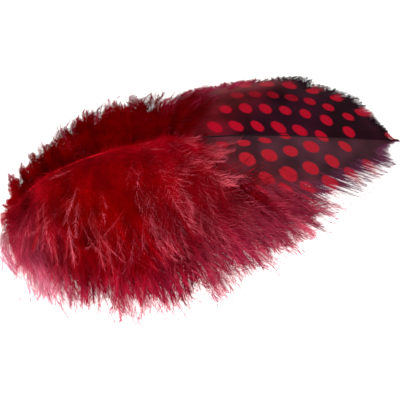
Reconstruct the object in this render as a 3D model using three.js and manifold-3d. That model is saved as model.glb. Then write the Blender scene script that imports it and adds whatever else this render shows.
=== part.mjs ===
// Guinea fowl body feather, lying on its back face with its upper side showing.
// One grown piece: a curved shaft, a closed spotted vane on each side of its outer
// half, and loose down on its inner half, which falls to the surface on both sides.
// X runs from the quill to the tip, +Y is the narrow side, Z is up.
import * as THREE from "three";
import { mergeVertices } from "three/addons/utils/BufferGeometryUtils.js";
import Module from "manifold-3d";

// ---- Driving dimensions, in millimetres and degrees ----
const SHAFT_LENGTH = 81.5; // quill end to tip, measured along X
const QUILL_END = { x: -39.7, y: 3.7 }; // puts the middle of the feather over the origin
const QUILL_RADIUS = 0.8;
const TIP_RADIUS = 0.25;
const QUILL_HEIGHT = 4; // shaft axis over the surface at the quill end
const TIP_HEIGHT = 0.9; // and at the tip
const SHAFT_ARCH = 8.4; // rise of the shaft between its two ends
const SHAFT_BOW = 3.8; // sideways bend of the shaft, towards +Y

const BARB_LENGTH = 33; // longest barbs, on the wide side
const LONGEST_AT = 0.3; // their place, as a share of the shaft
const QUILL_BARB_LENGTH = 15; // barbs at the quill end
const TIP_BARB_LENGTH = 1.8; // barbs at the tip
const NARROW_SIDE = 0.42; // barbs on the +Y side at the quill, as a share of the wide side's
const DOWN_ANGLE = [116, 66]; // barb to shaft in loose down, at the quill and at the tip
const VANE_ANGLE = [54, 26]; // barb to shaft where the barbs are zipped together
const ZIPPING = [0.3, 0.55]; // stretch of the shaft over which down turns into vane
const BARB_CURL = 14; // how far a barb turns towards the tip on its way out

const VANE_START = 0.45; // share of the shaft where the closed vane begins
const BLADES_A_SIDE = 10; // groups of zipped barbs, parted at the margin
const BLADE_THICKNESS = 0.9; // at the shaft
const BLADE_STEP = 0.12; // every other blade lies this much higher halfway out
const MARGIN_THICKNESS = 0.35;
const MARGIN_HEIGHT = [0.8, 2.4]; // where the vane begins, on the wide and the narrow side

const SURFACE_CUT = 30; // height of the slab that trims the lock tips flat
const CORNER_SNAP = 1e-3; // corners closer than this are one corner

// Each row of down: side, where it grows on the shaft, how many locks, and its shape.
// reach is a share of the barb length, lean how far the first and the last lock are
// turned from the barb angle, tip the height of the lock ends and loft the height that
// a lock rises over a straight line from root to end. The last two rows are the
// afterfeather, a small plume that grows under the quill and fills the vault.
const DOWN_ROWS = [
  { side: -1, from: 0.01, to: 0.52, locks: 23, reach: 1, lean: [0, 0], tip: 0.9, loft: 2.4, width: 5 },
  { side: 1, from: 0.02, to: 0.47, locks: 15, reach: 1, lean: [0, 0], tip: 2.4, loft: 2, width: 4.6 },
  { side: -1, from: 0.04, to: 0.48, locks: 14, reach: 0.92, lean: [0, 0], tip: -0.4, loft: -1.2, width: 5.4 },
  { side: 1, from: 0.05, to: 0.42, locks: 9, reach: 0.9, lean: [0, 0], tip: -0.4, loft: -1.4, width: 4.8 },
  { side: -1, from: 0.03, to: 0.09, locks: 4, reach: 1.55, lean: [-58, -102], tip: 0, loft: -0.6, width: 5.6 },
  { side: 1, from: 0.03, to: 0.09, locks: 4, reach: 3.1, lean: [-58, -102], tip: 0, loft: -0.6, width: 5.6 },
];
const DOWN_CROWDING = 0.68; // under 1 packs more of the locks towards the vane
const LOCK_THICKNESS = 0.36; // as a share of a lock's width
const LENGTH_SPREAD = 0.24; // unevenness of lock lengths
const ANGLE_SPREAD = 9; // unevenness of lock directions, in degrees
const HEIGHT_SPREAD = 2.6; // unevenness of lock heights

// ---- The shaft's line and the barbs that leave it ----
const { clamp, degToRad, lerp, smoothstep } = THREE.MathUtils;

// An even but unordered spread of numbers from -0.5 to 0.5: multiples of a fraction.
const GOLDEN = 0.618034;
const PLASTIC = 0.754878;
function spread(index, step) {
  return ((index * step) % 1) - 0.5;
}

// Centre of the shaft at a share s of its length: an arch with a sideways bow, both
// highest nearer to the quill than to the tip.
function shaftPoint(s) {
  const along = clamp(s, 0, 1);
  return new THREE.Vector3(
    QUILL_END.x + SHAFT_LENGTH * s,
    QUILL_END.y + SHAFT_BOW * Math.sin(Math.PI * along ** 0.6),
    lerp(QUILL_HEIGHT, TIP_HEIGHT, s) + SHAFT_ARCH * Math.sin(Math.PI * along ** 0.75),
  );
}

// Barbs stand square to the shaft in the down and lean towards the tip in the vane.
function barbAngle(s) {
  const down = lerp(DOWN_ANGLE[0], DOWN_ANGLE[1], s);
  const vane = lerp(VANE_ANGLE[0], VANE_ANGLE[1], s);
  return lerp(down, vane, smoothstep(s, ZIPPING[0], ZIPPING[1]));
}

// Barbs lengthen from the quill to a third of the shaft, then shorten to the tip. The
// +Y side is the narrow one in the down and a little the wider one in the vane.
function barbLength(side, s) {
  const rise = Math.sin((Math.PI / 2) * Math.min(s / LONGEST_AT, 1));
  const fall = clamp((s - LONGEST_AT) / (1 - LONGEST_AT), 0, 1) ** 1.5;
  const length = lerp(QUILL_BARB_LENGTH, BARB_LENGTH, rise) - (BARB_LENGTH - TIP_BARB_LENGTH) * fall;
  if (side < 0) return length;
  const widening = 0.5 * s + 0.43 * smoothstep(s, 0.4, 0.58) - 0.5 * smoothstep(s, 0.65, 0.95);
  return length * (NARROW_SIDE + widening);
}

// A point on the barb that leaves the shaft at s, at a share t of the barb's length and
// aside millimetres towards the tip. The barb runs out at its angle, turns towards the
// tip of the feather and sinks to its end height.
function barbPoint(side, s, t, shape, aside = 0) {
  const root = shaftPoint(s);
  const angle = degToRad(barbAngle(s) + shape.turn + BARB_CURL * (0.5 - t));
  const out = barbLength(side, s) * shape.reach * t;
  const height = lerp(root.z, shape.tip, t ** 1.7) + shape.loft * 4 * t * (1 - t);
  return new THREE.Vector3(
    root.x + out * Math.cos(angle) + aside * Math.sin(angle),
    root.y + side * (out * Math.sin(angle) - aside * Math.cos(angle)),
    height,
  );
}

// ---- Solids ----
const wasm = await Module();
wasm.setup();

function toSolid(geometry) {
  const bare = geometry.clone();
  bare.deleteAttribute("normal");
  bare.deleteAttribute("uv");
  const merged = mergeVertices(bare, CORNER_SNAP);
  const mesh = new wasm.Mesh({
    numProp: 3,
    vertProperties: new Float32Array(merged.attributes.position.array),
    triVerts: new Uint32Array(merged.index.array),
  });
  return new wasm.Manifold(mesh);
}

// Closed skin over a row of rings, each ring a list of the same number of points.
function skin(rings, flip) {
  const sides = rings[0].length;
  const positions = rings.flat().flatMap((point) => [point.x, point.y, point.z]);
  const index = [];
  const addTriangle = (a, b, c) => index.push(...(flip ? [a, c, b] : [a, b, c]));
  for (let ring = 0; ring < rings.length - 1; ring++) {
    for (let side = 0; side < sides; side++) {
      const here = ring * sides + side;
      const next = ring * sides + ((side + 1) % sides);
      addTriangle(here, next, next + sides);
      addTriangle(here, next + sides, here + sides);
    }
  }
  const last = (rings.length - 1) * sides;
  for (let side = 1; side < sides - 1; side++) {
    addTriangle(0, side + 1, side);
    addTriangle(last, last + side, last + side + 1);
  }
  return toGeometry(positions, index);
}

// The shaft: a round rod that thins from the quill to the tip.
function shaftGeometry() {
  const steps = 18;
  const sides = 6;
  const rings = [];
  for (let step = 0; step <= steps; step++) {
    const s = step / steps;
    const centre = shaftPoint(s);
    const radius = lerp(QUILL_RADIUS, TIP_RADIUS, s ** 0.8);
    const ring = Array.from({ length: sides }, (_, side) => {
      const around = (2 * Math.PI * side) / sides;
      const offset = new THREE.Vector3(0, Math.cos(around), Math.sin(around));
      return offset.multiplyScalar(radius).add(centre);
    });
    rings.push(ring);
  }
  return skin(rings, false);
}

// A group of barbs as one tapered solid, a row of rings from root to end. ringAt gives
// the ring at a share t of the barbs' length.
function barbGroup(side, steps, ringAt) {
  const rings = Array.from({ length: steps + 1 }, (_, step) => ringAt(step / steps));
  return skin(rings, side > 0);
}

// One lock of down: a spindle with a ridge along its middle. Where barbs fan out most,
// near the vane, the locks stand closer together on the shaft.
const LOCK_SECTION = [[-1, 0], [0, -1], [1, 0], [0, 1]];
function lockGeometry(row, number) {
  const place = ((number + 0.5) / row.locks) ** DOWN_CROWDING;
  const s = lerp(row.from, row.to, place);
  const shape = {
    reach: row.reach * (1 + LENGTH_SPREAD * spread(number + 1, GOLDEN)),
    turn: lerp(row.lean[0], row.lean[1], place) + ANGLE_SPREAD * spread(number + 1, PLASTIC),
    tip: row.tip + HEIGHT_SPREAD * Math.max(spread(number + 3, GOLDEN), -0.35),
    loft: row.loft,
  };
  return barbGroup(row.side, 5, (t) => {
    const half = row.width * (0.12 + 0.38 * Math.sin(Math.PI * t ** 1.15)) * (1 - 0.5 * t ** 8);
    return LOCK_SECTION.map(([across, up]) => {
      const point = barbPoint(row.side, s, t, shape, across * half);
      point.z += up * half * LOCK_THICKNESS;
      return point;
    });
  });
}

// One blade of the vane: flat, closed against its neighbours and pointed at the margin.
const BLADE_SECTION = [[-1, -1], [1, -1], [1, 1], [-1, 1]];
function bladeGeometry(side, number) {
  const share = (1 - VANE_START) / BLADES_A_SIDE;
  const s = VANE_START + share * (number + 0.5);
  const shape = {
    reach: 1 + 0.05 * spread(number + 2, GOLDEN),
    turn: 0,
    tip: lerp(MARGIN_HEIGHT[side > 0 ? 1 : 0], TIP_HEIGHT, number / BLADES_A_SIDE),
    loft: BLADE_STEP * (number % 2),
  };
  return barbGroup(side, 6, (t) => {
    const half = share * (0.53 - 0.3 * t ** 6);
    const thickness = lerp(BLADE_THICKNESS, MARGIN_THICKNESS, t);
    return BLADE_SECTION.map(([across, up]) => {
      const point = barbPoint(side, s + across * half, t, shape);
      point.z += (up * thickness) / 2;
      return point;
    });
  });
}

function toGeometry(positions, index) {
  const geometry = new THREE.BufferGeometry();
  geometry.setAttribute("position", new THREE.Float32BufferAttribute(positions, 3));
  geometry.setIndex(index);
  return geometry;
}

// The outer skin of a solid: what is sealed inside it counts as filled. Corners closer
// than CORNER_SNAP become one first. Two faces are on one skin when they share a corner.
function outerSkin(solid) {
  const fused = solid.getMesh();
  const snapped = toSolid(toGeometry(fused.vertProperties, Array.from(fused.triVerts))).getMesh();
  const corners = snapped.triVerts;
  const owner = Array.from({ length: snapped.vertProperties.length / 3 }, (_, vertex) => vertex);
  const find = (vertex) => {
    while (owner[vertex] !== vertex) vertex = owner[vertex];
    return vertex;
  };
  for (let corner = 0; corner < corners.length; corner += 3) {
    owner[find(corners[corner])] = find(corners[corner + 1]);
    owner[find(corners[corner + 1])] = find(corners[corner + 2]);
  }
  const skins = new Map();
  for (let corner = 0; corner < corners.length; corner += 3) {
    const name = find(corners[corner]);
    if (!skins.has(name)) skins.set(name, []);
    skins.get(name).push(...corners.slice(corner, corner + 3));
  }
  const outer = [...skins.values()].reduce((a, b) => (b.length > a.length ? b : a));
  return toGeometry(snapped.vertProperties, outer);
}

// ---- Fusing what grew as one piece ----
let feather = toSolid(shaftGeometry());
for (const side of [-1, 1]) {
  for (let number = 0; number < BLADES_A_SIDE; number++) {
    feather = feather.add(toSolid(bladeGeometry(side, number)));
  }
}
for (const row of DOWN_ROWS) {
  for (let number = 0; number < row.locks; number++) {
    feather = feather.add(toSolid(lockGeometry(row, number)));
  }
}

// Lock tips that press on the surface are flat underneath.
const aboveSurface = new THREE.BoxGeometry(4 * SHAFT_LENGTH, 4 * SHAFT_LENGTH, SURFACE_CUT);
aboveSurface.translate(0, 0, SURFACE_CUT / 2);
feather = feather.intersect(toSolid(aboveSurface));

const featherMesh = new THREE.Mesh(
  outerSkin(feather),
  new THREE.MeshStandardMaterial({ color: 0x8c0f22, roughness: 0.75, metalness: 0 }),
);
featherMesh.name = "feather";

const group = new THREE.Group();
group.add(featherMesh);
export default group;
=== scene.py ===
from collections import namedtuple
import math

import bpy
import numpy as np
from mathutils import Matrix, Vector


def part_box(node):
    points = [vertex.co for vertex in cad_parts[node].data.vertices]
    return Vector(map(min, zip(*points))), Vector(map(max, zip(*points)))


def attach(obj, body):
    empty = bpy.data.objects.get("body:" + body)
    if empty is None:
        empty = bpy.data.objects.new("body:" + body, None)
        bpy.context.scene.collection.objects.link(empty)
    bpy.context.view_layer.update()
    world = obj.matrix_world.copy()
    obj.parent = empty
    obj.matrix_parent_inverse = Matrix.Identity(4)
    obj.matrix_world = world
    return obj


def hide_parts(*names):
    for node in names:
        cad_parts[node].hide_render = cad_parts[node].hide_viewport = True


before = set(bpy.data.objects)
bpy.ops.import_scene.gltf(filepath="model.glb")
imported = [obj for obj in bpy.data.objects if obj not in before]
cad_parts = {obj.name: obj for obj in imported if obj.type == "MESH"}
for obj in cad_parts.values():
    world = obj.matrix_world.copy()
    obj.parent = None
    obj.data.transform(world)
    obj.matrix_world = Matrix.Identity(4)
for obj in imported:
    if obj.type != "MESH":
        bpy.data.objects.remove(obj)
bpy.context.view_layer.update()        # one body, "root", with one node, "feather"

# ---------------------------------------------------------------------------------------
# Shaft. The hollow quill and the solid rachis are one rod of keratin, dyed right through.
# It arches over the surface and bows to one side, and every barb grows out of its flanks.
# ---------------------------------------------------------------------------------------
MM = 0.001
WIDE, NARROW = -1, 1               # the two sides of the shaft, as signs of y
QUILL_INSET = 3.6 * MM             # the quill end lies just inside the down
QUILL_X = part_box("feather")[0].x + QUILL_INSET
QUILL_Y = 3.7 * MM
SHAFT_LENGTH = 81.5 * MM
SHAFT_SHOWN = 0.985                # past this share of its length the last barbs go on alone
SHAFT_ARCH = 8.4 * MM
SHAFT_BOW = 3.8 * MM
QUILL_HOOK = 2.3 * MM
HOOK_SHARE = 0.06
QUILL_HEIGHT = 4.0 * MM
TIP_HEIGHT = 0.9 * MM
QUILL_RADIUS = 0.45 * MM
TIP_RADIUS = 0.09 * MM
TUBE_ROWS = 90
TUBE_SIDES = 12

# The pile of down and vane stays under a ceiling, and over the surface it lies on.
RESTING_HEIGHT = 0.03 * MM
PILE_OVER_SHAFT = (3.0 * MM, 0.6 * MM, 0.1 * MM)     # at the quill, over the arch, in the vane
PILE_RISES = (0.0, 0.3)            # where on the shaft the first of these turns into the second
PILE_ENDS = (0.4, 0.54)            # and the second into the third
PILE_REACH = 33.0 * MM
PILE_FALL = 7.0 * MM               # by how much the ceiling is lower at PILE_REACH from the shaft
PILE_SLACK = 0.9 * MM              # what rises past the ceiling is pressed into this stretch

DYED_HORN_HEX = "#B00612"
DARK_HORN_HEX = "#12060A"
HORN_IOR = 1.54


def lerp(low, high, share):
    """low where share is 0 and high where it is 1."""
    return low + (high - low) * share


def smoothstep(value, low, high):
    """0 below low and 1 above high, with 3q^2 - 2q^3 between them."""
    q = np.clip((value - low) / (high - low), 0.0, 1.0)
    return q * q * (3.0 - 2.0 * q)


def unit(vectors):
    """The vectors at length 1."""
    return vectors / np.maximum(np.linalg.norm(vectors, axis=-1, keepdims=True), 1e-12)


def shaft_point(s):
    """Centre of the shaft at a share s of its length: x grows evenly, y bows by
    sin(pi s^0.6) and hooks back at the quill by e^(-s / HOOK_SHARE), and z arches by
    sin(pi s^0.75) over a line from quill to tip."""
    along = np.clip(s, 0.0, 1.0)
    x = QUILL_X + SHAFT_LENGTH * s
    bow = SHAFT_BOW * np.sin(np.pi * along ** 0.6)
    y = QUILL_Y + bow - QUILL_HOOK * np.exp(-along / HOOK_SHARE)
    z = lerp(QUILL_HEIGHT, TIP_HEIGHT, s) + SHAFT_ARCH * np.sin(np.pi * along ** 0.75)
    return np.stack([x, y, z], axis=-1)


def settled(points):
    """The points under the pile's ceiling and off the surface. The ceiling follows the
    shaft, PILE_OVER_SHAFT higher, and falls to both sides by a parabola. The height by
    which a point is over it is pressed into PILE_SLACK by an exponential curve."""
    s = (points[:, 0] - QUILL_X) / SHAFT_LENGTH
    quill_end, arch, vane = PILE_OVER_SHAFT
    ceiling = shaft_point(s)[:, 2] + lerp(quill_end, arch, smoothstep(s, *PILE_RISES))
    ceiling = ceiling - (arch - vane) * smoothstep(s, *PILE_ENDS)
    ceiling = ceiling - PILE_FALL * ((points[:, 1] - shaft_point(s)[:, 1]) / PILE_REACH) ** 2
    over = np.maximum(points[:, 2] - ceiling, 0.0)
    height = np.minimum(points[:, 2], ceiling) + PILE_SLACK * (1.0 - np.exp(-over / PILE_SLACK))
    return np.stack([points[:, 0], points[:, 1], np.maximum(height, RESTING_HEIGHT)], axis=-1)


def sheets(points, uv, **attributes):
    """Faces over grids: points is (sheets, rows, columns, 3), and each sheet becomes
    (rows - 1) x (columns - 1) quads. uv and each attribute follow the same grid."""
    number = np.arange(points[..., 0].size).reshape(points.shape[:3])
    corners = (number[:, :-1, :-1], number[:, :-1, 1:], number[:, 1:, 1:], number[:, 1:, :-1])
    quads = np.stack(corners, axis=-1)
    flat = {name: values.reshape(-1) for name, values in attributes.items()}
    return points.reshape(-1, 3), quads.reshape(-1, 4), uv.reshape(-1, 2), flat


def piece(name, material, parts):
    """One mesh object made of several lists of faces, riding on the feather's body and
    standing for its solid. Its UV map OFBake gives every barb a column of its own."""
    points = settled(np.concatenate([part[0] for part in parts]))
    starts = np.cumsum([0] + [len(part[0]) for part in parts])
    quads = np.concatenate([part[1] + start for part, start in zip(parts, starts)])
    uv = np.concatenate([part[2] for part in parts])
    mesh = bpy.data.meshes.new(name)
    mesh.from_pydata(points, [], quads)
    layer = mesh.uv_layers.new(name="OFBake")
    layer.uv.foreach_set("vector", uv[quads.ravel()].ravel())
    for label in sorted(set().union(*[part[3] for part in parts])):
        values = [part[3].get(label, np.zeros(len(part[0]))) for part in parts]
        stored = mesh.attributes.new(label, "FLOAT", "POINT")
        stored.data.foreach_set("value", np.concatenate(values).astype(np.float32))
    mesh.shade_smooth()
    mesh.materials.append(material)
    thing = bpy.data.objects.new(name, mesh)
    bpy.context.scene.collection.objects.link(thing)
    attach(thing, "root")
    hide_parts("feather")


def linear(code):
    """An sRGB hex colour as linear RGBA."""
    parts = [int(code[place:place + 2], 16) / 255 for place in (1, 3, 5)]
    bent = [c / 12.92 if c <= 0.04045 else ((c + 0.055) / 1.055) ** 2.4 for c in parts]
    return (*bent, 1.0)


def add_node(tree, kind, settings=None, stops=(), **inputs):
    """A new node with its settings. An input is a value, or a socket to link from; _0,
    _1 ... name an input by number, as on a Mix node, where _0 is the factor, and _6 and
    _7 are the colours. stops are the places and hex colours of a ramp."""
    node = tree.nodes.new(kind)
    for name, value in (settings or {}).items():
        setattr(node, name, value)
    for name, value in inputs.items():
        key = int(name[1:]) if name[0] == "_" else name.replace("_", " ")
        if isinstance(value, bpy.types.NodeSocket):
            tree.links.new(value, node.inputs[key])
        else:
            node.inputs[key].default_value = value
    for _ in stops[2:]:
        node.color_ramp.elements.new(0.5)
    for number, (place, code) in enumerate(stops):
        node.color_ramp.elements[number].position = place
        node.color_ramp.elements[number].color = linear(code)
    return node


def uv_shares(tree):
    """The two coordinates of the OFBake map: across all barbs, and along a barb."""
    source = add_node(tree, "ShaderNodeUVMap", {"uv_map": "OFBake"})
    parted = add_node(tree, "ShaderNodeSeparateXYZ", Vector=source.outputs["UV"])
    return parted.outputs["X"], parted.outputs["Y"]


def new_material(name):
    """An empty node material with its output node."""
    material = bpy.data.materials.new(name)
    material.use_nodes = True
    material.node_tree.nodes.clear()
    output = material.node_tree.nodes.new("ShaderNodeOutputMaterial")
    return material, material.node_tree, output


def dyed_horn():
    """Smooth quill horn, clear enough to take the dye right through: red in the down,
    near black where the vane's pigment begins."""
    material, tree, output = new_material("dyed_quill_horn")
    _, along = uv_shares(tree)
    stops = [(0.0, DYED_HORN_HEX), (0.38, DYED_HORN_HEX), (0.5, DARK_HORN_HEX), (1.0, DARK_HORN_HEX)]
    colour = add_node(tree, "ShaderNodeValToRGB", stops=stops, Fac=along)
    shader = add_node(tree, "ShaderNodeBsdfPrincipled", Base_Color=colour.outputs["Color"],
                      Roughness=0.45, IOR=HORN_IOR, Specular_IOR_Level=0.05)
    tree.links.new(shader.outputs[0], output.inputs["Surface"])
    return material


def shaft_tube():
    """A round tube along the shaft. Its radius falls with the square root of the share
    of the length, is rounded off at the quill and thinned once more at the other end."""
    along = np.linspace(0.0, SHAFT_SHOWN, TUBE_ROWS)[:, None]
    around = np.linspace(0.0, 2.0 * np.pi, TUBE_SIDES + 1)[None, :]
    radius = lerp(QUILL_RADIUS, TIP_RADIUS, along ** 0.5) * smoothstep(along, -0.004, 0.012)
    radius = radius * (1.0 - 0.6 * smoothstep(along, 0.9, SHAFT_SHOWN))
    ring = np.stack(np.broadcast_arrays(0.0, np.cos(around) * radius, np.sin(around) * radius), axis=-1)
    tube = shaft_point(along) + ring
    uv = np.stack(np.broadcast_arrays(around / (2.0 * np.pi), along), axis=-1)
    return sheets(tube[None], uv[None])


piece("shaft", dyed_horn(), [shaft_tube()])

# ---------------------------------------------------------------------------------------
# Vane. Barbs leave both flanks of the rachis and hook together into one springy sheet.
# It is closed near the rachis, parts into groups towards the margin and ends in hairs.
# Black pigment under the red dye leaves rows of round spots, which grew without it.
# ---------------------------------------------------------------------------------------
BARB_LENGTH = 33.0 * MM            # of the longest barb, on the wide side
LONGEST_AT = 0.3
QUILL_BARB_LENGTH = 15.0 * MM
TIP_BARB_LENGTH = 1.8 * MM
NARROW_SHARE = 0.42                # of the wide side's length, at the quill
DOWN_ANGLE = (116.0, 66.0)         # degrees between barb and shaft, at the quill and the tip
VANE_ANGLE = (54.0, 26.0)
ZIPPING = (0.3, 0.55)              # where on the shaft down turns into vane
BARB_CURL = 14.0

VANE_START = 0.42
VANE_END = 0.995
VANE_BARBS = 150
BARB_GAP = (VANE_END - VANE_START) / VANE_BARBS
MATURING = (0.44, 0.53)            # shares of the shaft between which barbs begin to hook
GROUP_SIZES = (2, 8)               # barbs that draw together, from and below
GROUP_PULL = (0.55, 0.95)          # share of the way to their centre
TIP_TURN = 16.0                    # degrees by which the last barbs close up to the tip
BARB_ROWS = 46
BARB_END = 0.985                   # the sheet ends here, and the fringe goes on
BARB_LOFT = 0.06 * MM
RIDGE_HEIGHT = 0.05 * MM
WEB_DEPTH = 0.12 * MM              # the barbules' sheet lies this far under the barbs
WEB_WIDTH = 1.2                    # its half width round each barb, in gaps between barbs
WEB_DRIFT = 0.35                   # how much of a barb's straying it follows
HATCH_DEPTH = 3.0                  # millimetres by which the sheet's spots shrink in the hatch

# Per side: shares of a barb, unless a unit is given.
ZIPPED = {WIDE: (0.34, 0.75, 0.85), NARROW: (0.89, 0.92, 0.92)}      # in down, vane and tip
ZIPPED_UNEVEN = {WIDE: 0.02, NARROW: 0.005}
PARTING = {WIDE: 0.12, NARROW: 0.06}              # over how long a stretch a barb comes free
CLOSING = {WIDE: 1.0, NARROW: 0.6}                # how far a group draws together
STRAYING = {WIDE: 1.0, NARROW: 0.5}               # of free ends, in gaps between barbs
FREE_WIDTH = {WIDE: 0.15, NARROW: 0.45}           # half width of a free end, in gaps
MARGIN_HEIGHT = {WIDE: 0.8 * MM, NARROW: 2.4 * MM}
MARGIN_UNEVEN = {WIDE: 0.15 * MM, NARROW: 0.05 * MM}
LENGTH_UNEVEN = {WIDE: 0.13, NARROW: 0.05}
VANE_REACH = {WIDE: 1.05, NARROW: 1.04}
TIP_SHORTER = {WIDE: (0.56, 0.78), NARROW: (0.45, 0.9)}              # by how much, from where
STEEPER = {WIDE: 0.0, NARROW: 9.0}                # degrees by which the first vane barbs stand out
HATCHED = {WIDE: 0.0, NARROW: 1.0}                # how far the ribbons stand apart in the hatch
FRINGE_HAIRS = {WIDE: 26, NARROW: 22}             # on a barb
DOWNY_FRINGE_HAIRS = 110                          # on a barb that is half down still
FRINGE_LENGTH = {WIDE: (0.5, 2.4), NARROW: (0.5, 2.1)}               # millimetres
FRINGE_LEAN = {WIDE: (4.0, 30.0), NARROW: (4.0, 26.0)}               # degrees
FRINGE_SPLAY = {WIDE: 0.0, NARROW: 22.0}          # degrees more, to the tip, at the ends
FRINGE_WIDTH = {WIDE: 0.045 * MM, NARROW: 0.1 * MM}

# Rows of spots, from the narrow margin to the wide one. In millimetres: the row's
# distance from the rachis, where it meets the rachis and by which power of the way it
# bends there, its first spot and their spacing; then the number of spots, their half
# length and half width, and their tilt in degrees. Lengths run from the quill end.
SPOT_ROWS = (
    (16.3, 82.0, 4.1, 52.4, 4.77, 7, 1.60, 1.15, -14.0),
    (12.0, 78.4, 4.0, 49.9, 3.79, 7, 1.45, 1.15, -30.0),
    (7.3, 73.3, 4.6, 46.4, 4.19, 7, 1.50, 1.25, -60.0),
    (2.4, 65.5, 4.5, 43.1, 4.42, 8, 1.75, 1.15, -48.0),
    (-2.2, 57.8, 2.9, 43.7, 4.52, 4, 1.35, 0.80, -5.0),
    (-6.2, 70.3, 1.9, 48.2, 4.67, 4, 1.75, 1.40, -22.0),
    (-10.5, 77.9, 2.2, 51.3, 4.90, 4, 1.80, 1.30, -28.0),
    (-12.5, 82.7, 3.0, 49.8, 4.98, 5, 1.80, 1.10, -30.0),
    (-15.1, 78.4, 4.3, 53.8, 5.70, 3, 1.85, 1.20, -33.0),
)
ROWS_BEND_FROM = 40.0              # millimetres from the quill end
NO_SPOT = 9.0                      # millimetres, farther than any spot matters
SPOT_TILT_SPREAD = 20.0
SPOT_SIZE_SPREAD = 0.14
LAST_SPOT_SMALLER = 0.1            # a row's spots shrink to the tip, by up to this share
TILT_STEP = 0.618                  # steps for spread
SIZE_STEP = 0.755
# Where the hooks have let go: the barb that a split follows, its start and its width.
SPLITS = {
    WIDE: ((0.541, 0.26, 0.30), (0.490, 0.44, 0.30), (0.572, 0.58, 0.22), (0.645, 0.34, 0.14)),
    NARROW: (),
}
SPLIT_FADE = 0.02                  # share of the shaft over which the neighbours are pushed

# The wide side's plum ground is lighter than the narrow side's partly by painted sheen, where the near
# vane catches the light.
VANE_FINISH = {
    WIDE: dict(spot="#7C0A18", ground="#30141C", base="#421018", fringe="#54243E", gloss=0.05),
    NARROW: dict(spot="#7E0216", ground="#1C030D", base="#4A060E", fringe="#16040C", gloss=0.02),
}
DOWNY_FRINGE_HEX = "#761A2E"
LOOSE_SPOT_HEX = "#8A1C30"
# The patches are painted sheen: the vane's ground made lighter or darker where light would catch it.
PAINTED_SHEEN_SIZE = 6.6667 * MM           # of the patches in which the vane is lighter or darker
KERATIN_IOR = 1.5


def barb_angle(s):
    """Degrees between barb and shaft: near square in the down, leaning to the tip in
    the vane, with a smooth change over the stretch where the barbs zip together."""
    down = lerp(*DOWN_ANGLE, s)
    vane = lerp(*VANE_ANGLE, s)
    return lerp(down, vane, smoothstep(s, *ZIPPING))


def barb_length(side, s):
    """Barbs lengthen from the quill to LONGEST_AT by a quarter sine and shorten to the
    tip by a power of 1.5. Those of the narrow side are shorter, most so in the down."""
    rise = np.sin(0.5 * np.pi * np.clip(s / LONGEST_AT, 0.0, 1.0))
    fall = np.clip((s - LONGEST_AT) / (1.0 - LONGEST_AT), 0.0, 1.0) ** 1.5
    length = lerp(QUILL_BARB_LENGTH, BARB_LENGTH, rise) - (BARB_LENGTH - TIP_BARB_LENGTH) * fall
    if side == WIDE:
        return length
    widening = 0.5 * s + 0.43 * smoothstep(s, 0.4, 0.58) - 0.5 * smoothstep(s, 0.65, 0.95)
    return length * (NARROW_SHARE + widening)


def barb_point(side, s, t, tip, loft=0.0, turn=0.0, reach=1.0, aside=0.0):
    """A point at a share t of the barb that leaves the shaft at s: out along the barb's
    angle, which turns to the tip by BARB_CURL, down to height tip by t^1.7, up by a
    parabola of height loft, and aside along the surface, square to the barb."""
    root = shaft_point(s)
    angle = np.radians(barb_angle(s) + turn + BARB_CURL * (0.5 - t))
    out = barb_length(side, s) * reach * t
    x = root[..., 0] + out * np.cos(angle) + aside * np.sin(angle)
    y = root[..., 1] + side * (out * np.sin(angle) - aside * np.cos(angle))
    z = lerp(root[..., 2], tip, t ** 1.7) + loft * 4.0 * t * (1.0 - t)
    return np.stack(np.broadcast_arrays(x, y, z), axis=-1)


def spread(index, step):
    """Even but unordered numbers from -0.5 to 0.5: multiples of a fraction."""
    return (index * step) % 1.0 - 0.5


def spot_distance(points):
    """Distance in millimetres from each point to the edge of the nearest spot, below 0
    inside it. A row runs at distance (1 - q^power) from the rachis, with q its share of
    the way to where it meets the rachis; a spot is an ellipse tilted in the vane."""
    x = (points[..., 0] - QUILL_X) / MM
    rachis = shaft_point((points[..., 0] - QUILL_X) / SHAFT_LENGTH)
    lateral = (points[..., 1] - rachis[..., 1]) / MM
    nearest = np.full(x.shape, NO_SPOT)
    for number, row in enumerate(SPOT_ROWS):
        away, meets, power, first, spacing, spots, half_length, half_width, tilt = row
        for count in range(spots):
            spot_x = first + spacing * count
            q = (spot_x - ROWS_BEND_FROM) / (meets - ROWS_BEND_FROM)
            spot_y = away * (1.0 - abs(q) ** power)
            lean = math.radians(tilt + SPOT_TILT_SPREAD * spread(7 * count + 3 * number, TILT_STEP))
            size = 1.0 + SPOT_SIZE_SPREAD * spread(5 * count + 2 * number, SIZE_STEP)
            size = size - LAST_SPOT_SMALLER * count / spots
            forward = (x - spot_x) * math.cos(lean) + (lateral - spot_y) * math.sin(lean)
            across = (lateral - spot_y) * math.cos(lean) - (x - spot_x) * math.sin(lean)
            round_size = math.sqrt(half_length * half_width) * size
            stretch = math.sqrt(half_length / half_width)
            distance = np.hypot(forward / stretch, across * stretch) - round_size
            nearest = np.minimum(nearest, distance)
    return nearest


def open_split(side, s_root, t):
    """How far along the shaft the splits push a barb: away from each split on both its
    sides, fading over the neighbouring barbs, from the split's start outwards."""
    push = np.zeros(np.broadcast_shapes(s_root.shape, t.shape))
    for at, start, gap in SPLITS[side]:
        beside = (s_root - at) / SPLIT_FADE
        opened = smoothstep(t, start, start + 0.12)
        closed_again = 0.5 * smoothstep(t, start + 0.3, start + 0.45)
        away = np.sign(beside) * np.exp(-np.abs(beside)) * gap * MM / SHAFT_LENGTH
        push = push + away * opened * (1.0 - closed_again)
    return push


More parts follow.
